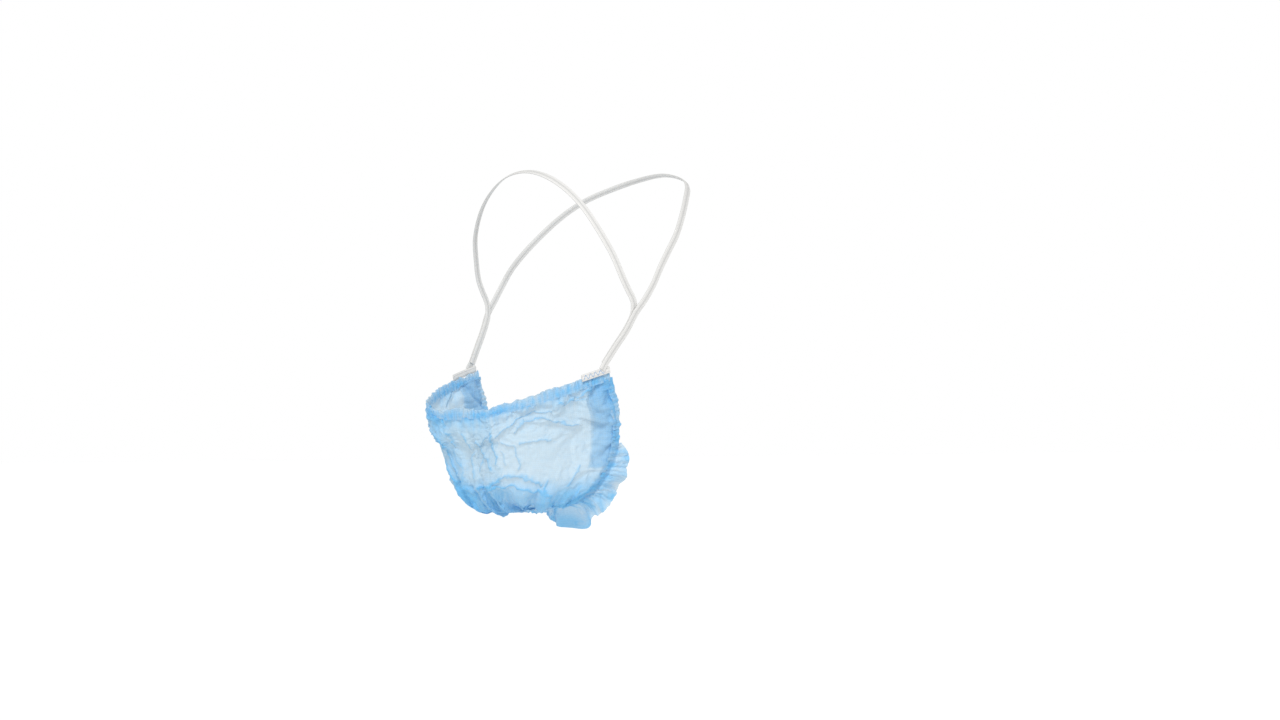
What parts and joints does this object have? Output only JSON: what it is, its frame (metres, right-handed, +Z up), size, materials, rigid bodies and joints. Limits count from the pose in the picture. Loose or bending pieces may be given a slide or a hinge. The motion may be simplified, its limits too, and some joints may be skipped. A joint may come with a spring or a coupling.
{
  "type": "beard net",
  "caption": "Disposable beard net in its worn shape: a gathered crinkled cloth pouch with a ruffled rear edge, hung from stretch bands that run over a head.",
  "frame": {"origin": "the chin seat: the inside of the pouch's floor, in the middle plane, where a chin rests", "axes": "+X to the wearer's left, +Y to the wearer's back, +Z up along the worn head"},
  "size_m": [0.1596, 0.1712, 0.2253],
  "materials": {
    "net_cloth": "thin crinkled translucent nonwoven, pale blue",
    "gathered_cloth": "the same nonwoven in several gathered layers, deeper blue",
    "frill_cloth": "loose ruffled nonwoven, pale blue",
    "knitted_elastic": "flat knitted elastic, matt white"
  },
  "bodies": {
    "root": {"net_pouch": "net_cloth", "left_turned_edge": "net_cloth", "right_turned_edge": "net_cloth", "top_hem": "gathered_cloth", "rear_hem": "gathered_cloth", "lower_frill": "frill_cloth", "front_head_band": "knitted_elastic", "rear_head_band": "knitted_elastic", "left_sewn_end": "knitted_elastic", "right_sewn_end": "knitted_elastic"}
  },
  "joints": []
}
